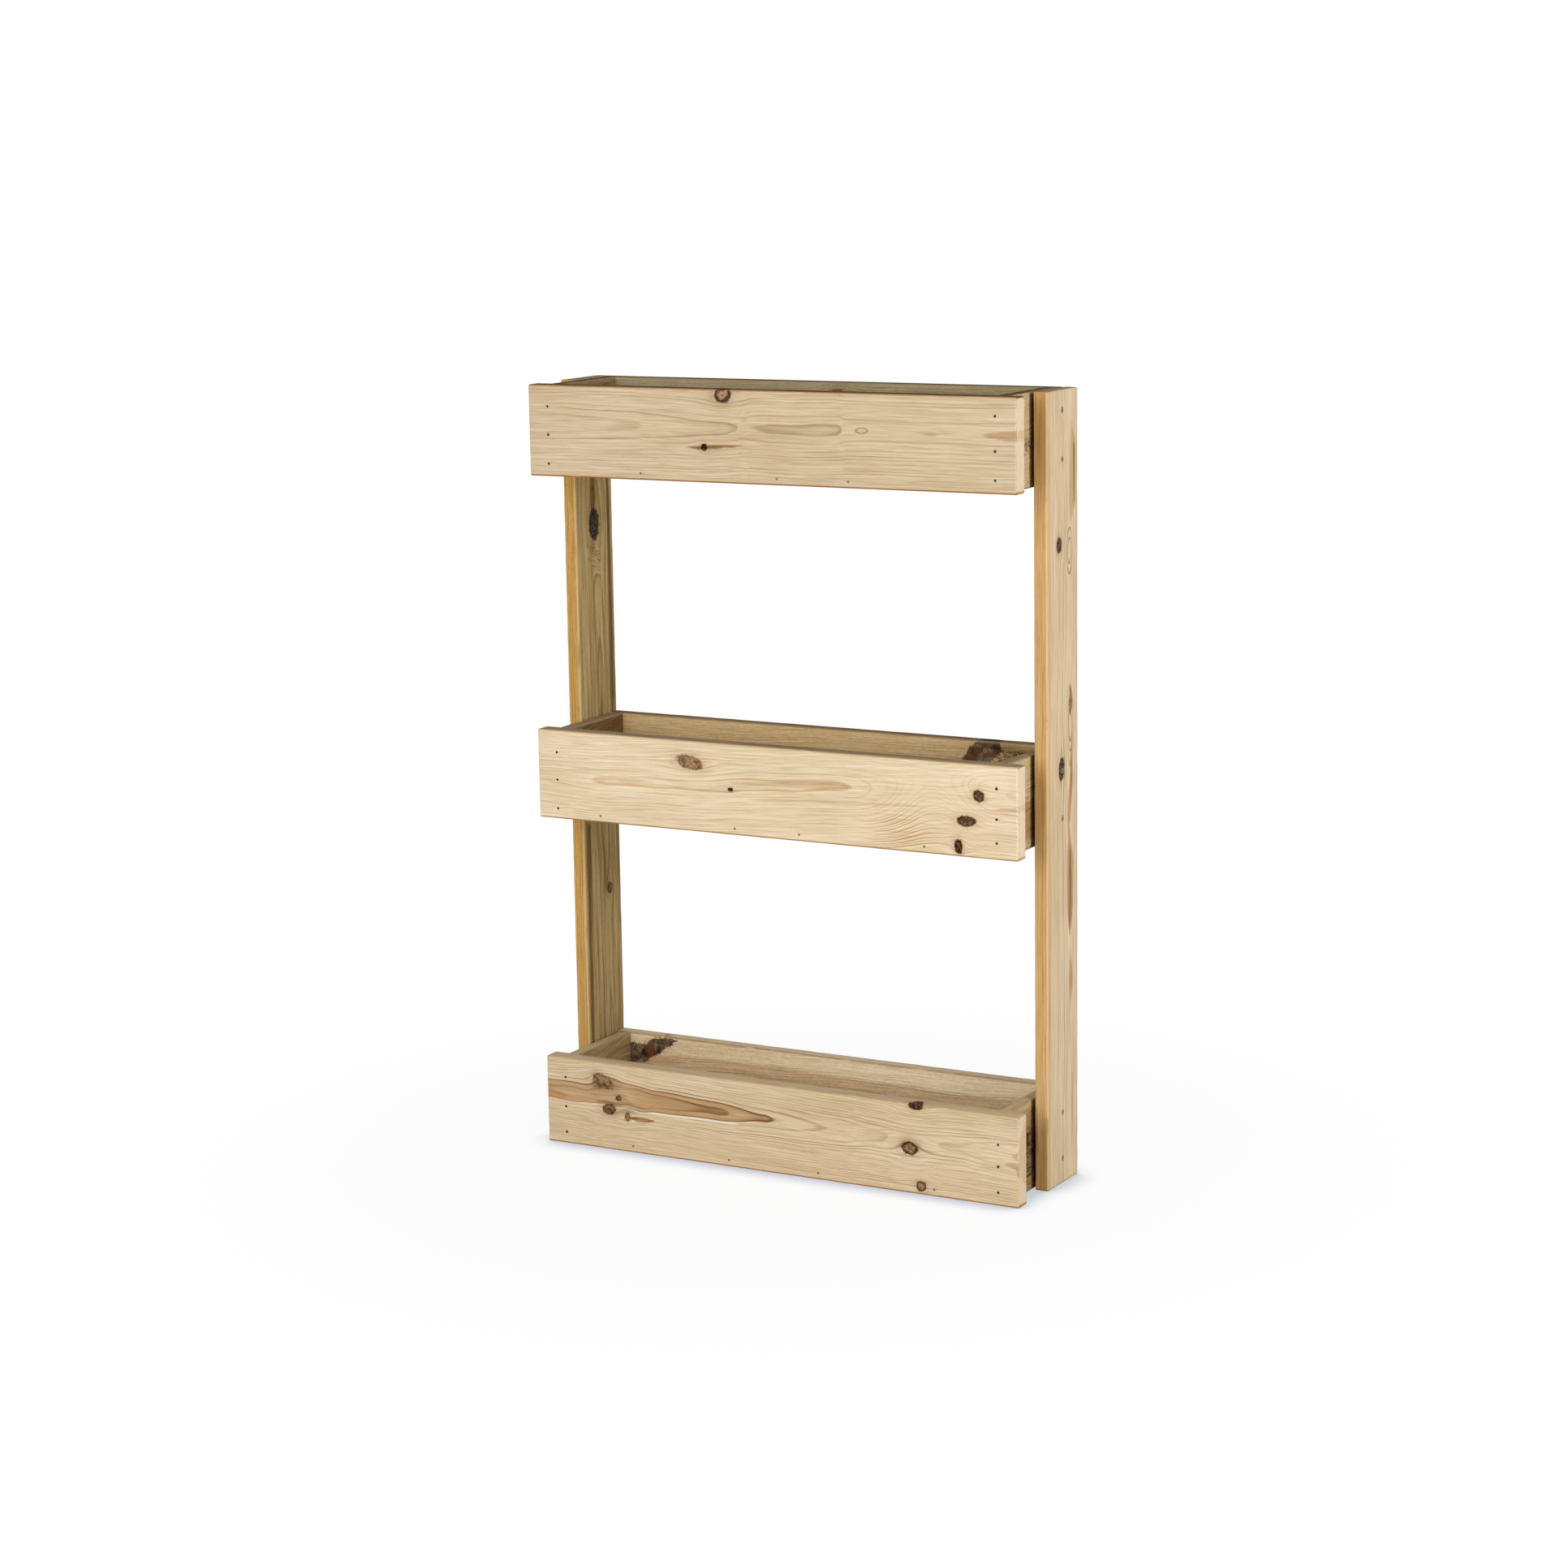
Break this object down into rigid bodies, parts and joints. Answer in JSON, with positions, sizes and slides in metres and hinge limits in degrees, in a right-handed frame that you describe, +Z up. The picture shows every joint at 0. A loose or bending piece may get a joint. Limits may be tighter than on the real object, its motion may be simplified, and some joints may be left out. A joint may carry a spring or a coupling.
{
  "type": "vertical planter",
  "caption": "Free-standing vertical wooden planter: open plant troughs one above the other between two upright side posts.",
  "frame": {"origin": "on the ground, at the middle of the planter's width and depth", "axes": "+Z up along the posts, -Y towards the front boards, +X to the right as seen from the front"},
  "size_m": [0.832, 0.205, 1.2],
  "materials": {
    "post_wood": "planed softwood, untreated",
    "front_wood": "planed softwood, untreated",
    "trough_wood": "planed softwood, untreated",
    "floor_wood": "planed softwood, untreated",
    "nail_steel": "dull bright-steel wire nail",
    "screw_steel": "zinc plated"
  },
  "bodies": {
    "root": {"left_post": "post_wood", "right_post": "post_wood", "top_front_board": "front_wood", "top_back_board": "trough_wood", "top_left_end_board": "trough_wood", "top_right_end_board": "trough_wood", "top_front_slat": "floor_wood", "top_rear_slat": "floor_wood", "top_front_nails": "nail_steel", "top_back_nails": "nail_steel", "top_end_nails": "nail_steel", "top_post_screws": "screw_steel", "middle_front_board": "front_wood", "middle_back_board": "trough_wood", "middle_left_end_board": "trough_wood", "middle_right_end_board": "trough_wood", "middle_front_slat": "floor_wood", "middle_rear_slat": "floor_wood", "middle_front_nails": "nail_steel", "middle_back_nails": "nail_steel", "middle_end_nails": "nail_steel", "middle_post_screws": "screw_steel", "bottom_front_board": "front_wood", "bottom_back_board": "trough_wood", "bottom_left_end_board": "trough_wood", "bottom_right_end_board": "trough_wood", "bottom_front_slat": "floor_wood", "bottom_rear_slat": "floor_wood", "bottom_front_nails": "nail_steel", "bottom_back_nails": "nail_steel", "bottom_end_nails": "nail_steel", "bottom_post_screws": "screw_steel"}
  },
  "joints": []
}
